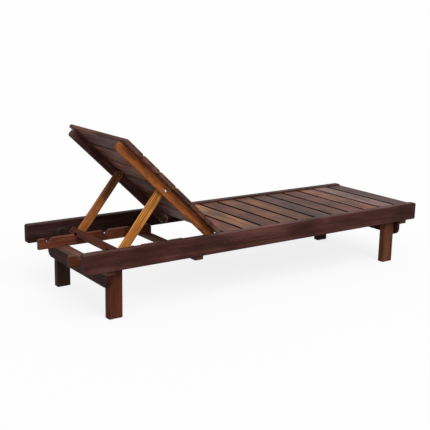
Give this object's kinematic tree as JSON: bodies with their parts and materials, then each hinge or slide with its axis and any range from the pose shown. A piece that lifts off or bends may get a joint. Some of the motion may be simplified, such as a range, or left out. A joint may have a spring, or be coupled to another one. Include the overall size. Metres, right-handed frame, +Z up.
{
  "type": "sun lounger",
  "caption": "Slatted hardwood sun lounger with side rails on short legs, and a reclining slatted backrest held by a swinging prop over notched ratchet boards.",
  "frame": {"origin": "on the floor under the middle of the side rails", "axes": "+X from the head end to the foot end, +Y to the left of a person lying on it, +Z up"},
  "size_m": [2, 0.641, 0.783],
  "materials": {
    "rail_wood": "oiled hardwood",
    "leg_wood": "oiled hardwood",
    "apron_wood": "oiled hardwood",
    "ratchet_wood": "oiled hardwood",
    "ledger_wood": "oiled hardwood",
    "seat_wood": "oiled hardwood",
    "back_wood": "oiled hardwood",
    "batten_wood": "oiled hardwood",
    "strut_wood": "oiled hardwood",
    "steel": "satin zinc plated"
  },
  "bodies": {
    "frame": {"right_side_rail": "rail_wood", "left_side_rail": "rail_wood", "right_head_leg": "leg_wood", "left_head_leg": "leg_wood", "right_foot_leg": "leg_wood", "left_foot_leg": "leg_wood", "head_apron": "apron_wood", "foot_apron": "apron_wood", "head_cross_batten": "apron_wood", "middle_cross_batten": "apron_wood", "foot_cross_batten": "apron_wood", "right_ratchet_board": "ratchet_wood", "left_ratchet_board": "ratchet_wood", "right_seat_ledger": "ledger_wood", "left_seat_ledger": "ledger_wood", "right_foot_ledger": "ledger_wood", "left_foot_ledger": "ledger_wood", "seat_slat_01": "seat_wood", "seat_slat_02": "seat_wood", "seat_slat_03": "seat_wood", "seat_slat_04": "seat_wood", "seat_slat_05": "seat_wood", "seat_slat_06": "seat_wood", "seat_slat_07": "seat_wood", "seat_slat_08": "seat_wood", "seat_slat_09": "seat_wood", "seat_slat_10": "seat_wood", "seat_slat_11": "seat_wood", "leg_bolts": "steel", "leg_nuts": "steel", "apron_screws": "steel", "cross_batten_screws": "steel", "ratchet_screws": "steel", "ledger_screws": "steel", "seat_slat_screws": "steel", "back_pivot_bolts": "steel", "back_pivot_sleeves": "steel", "back_pivot_nuts": "steel"},
    "backrest": {"right_back_batten": "batten_wood", "left_back_batten": "batten_wood", "back_slat_1": "back_wood", "back_slat_2": "back_wood", "back_slat_3": "back_wood", "back_slat_4": "back_wood", "back_slat_5": "back_wood", "back_slat_6": "back_wood", "back_slat_screws": "steel", "prop_pivot_bolts": "steel", "prop_pivot_washers": "steel", "prop_pivot_nuts": "steel"},
    "prop": {"right_prop_strut": "strut_wood", "left_prop_strut": "strut_wood", "prop_crossbar": "apron_wood", "crossbar_screws": "steel"}
  },
  "joints": [
    {"name": "backrest_recline", "type": "hinge", "parent": "frame", "child": "backrest", "pos_m": [-0.2803, 0, 0.272], "axis": [0, 1, 0], "range_deg": [-43.4, 21]},
    {"name": "prop_swing", "type": "hinge", "parent": "backrest", "child": "prop", "pos_m": [-0.5564, 0, 0.53309], "axis": [0, 1, 0], "range_deg": [-46.5, 95.5]}
  ],
  "couplings": [
    {"joint": "prop_swing", "follows": "backrest_recline", "ratio": -2.18}
  ]
}
